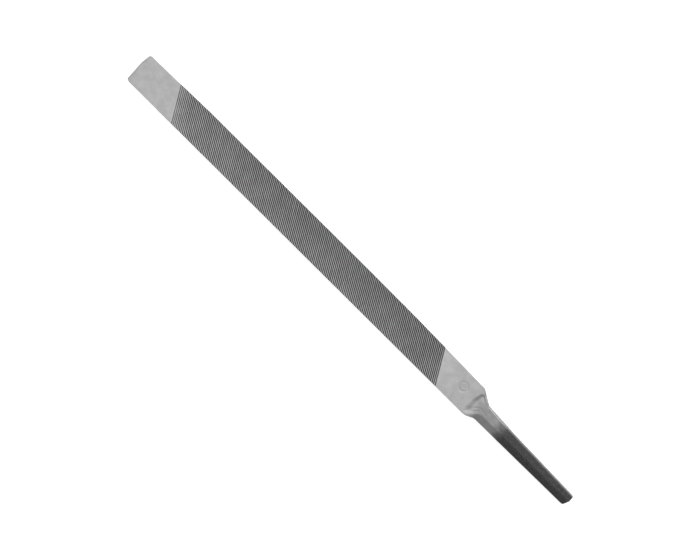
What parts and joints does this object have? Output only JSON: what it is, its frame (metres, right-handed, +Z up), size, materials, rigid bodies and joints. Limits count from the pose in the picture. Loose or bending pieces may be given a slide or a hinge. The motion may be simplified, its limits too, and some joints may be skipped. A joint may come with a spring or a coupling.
{
  "type": "flat file",
  "caption": "Flat single-cut metal file with bare tip and heel, slanted parallel teeth on both faces and a tapered bare tang for a handle.",
  "frame": {"origin": "middle of the footprint, on the surface that the file lies on", "axes": "+X along the blade towards the tip, which is also the cutting direction, +Y across the blade towards the side that the tang leans to, +Z up through the thickness"},
  "size_m": [0.2556, 0.015, 0.004],
  "materials": {
    "bare_tool_steel": "ground matt grey steel on the bare tip and heel, darker in the teeth, heat-darkened towards the end of the tang"
  },
  "bodies": {
    "root": {"flat_file": "bare_tool_steel"}
  },
  "joints": []
}
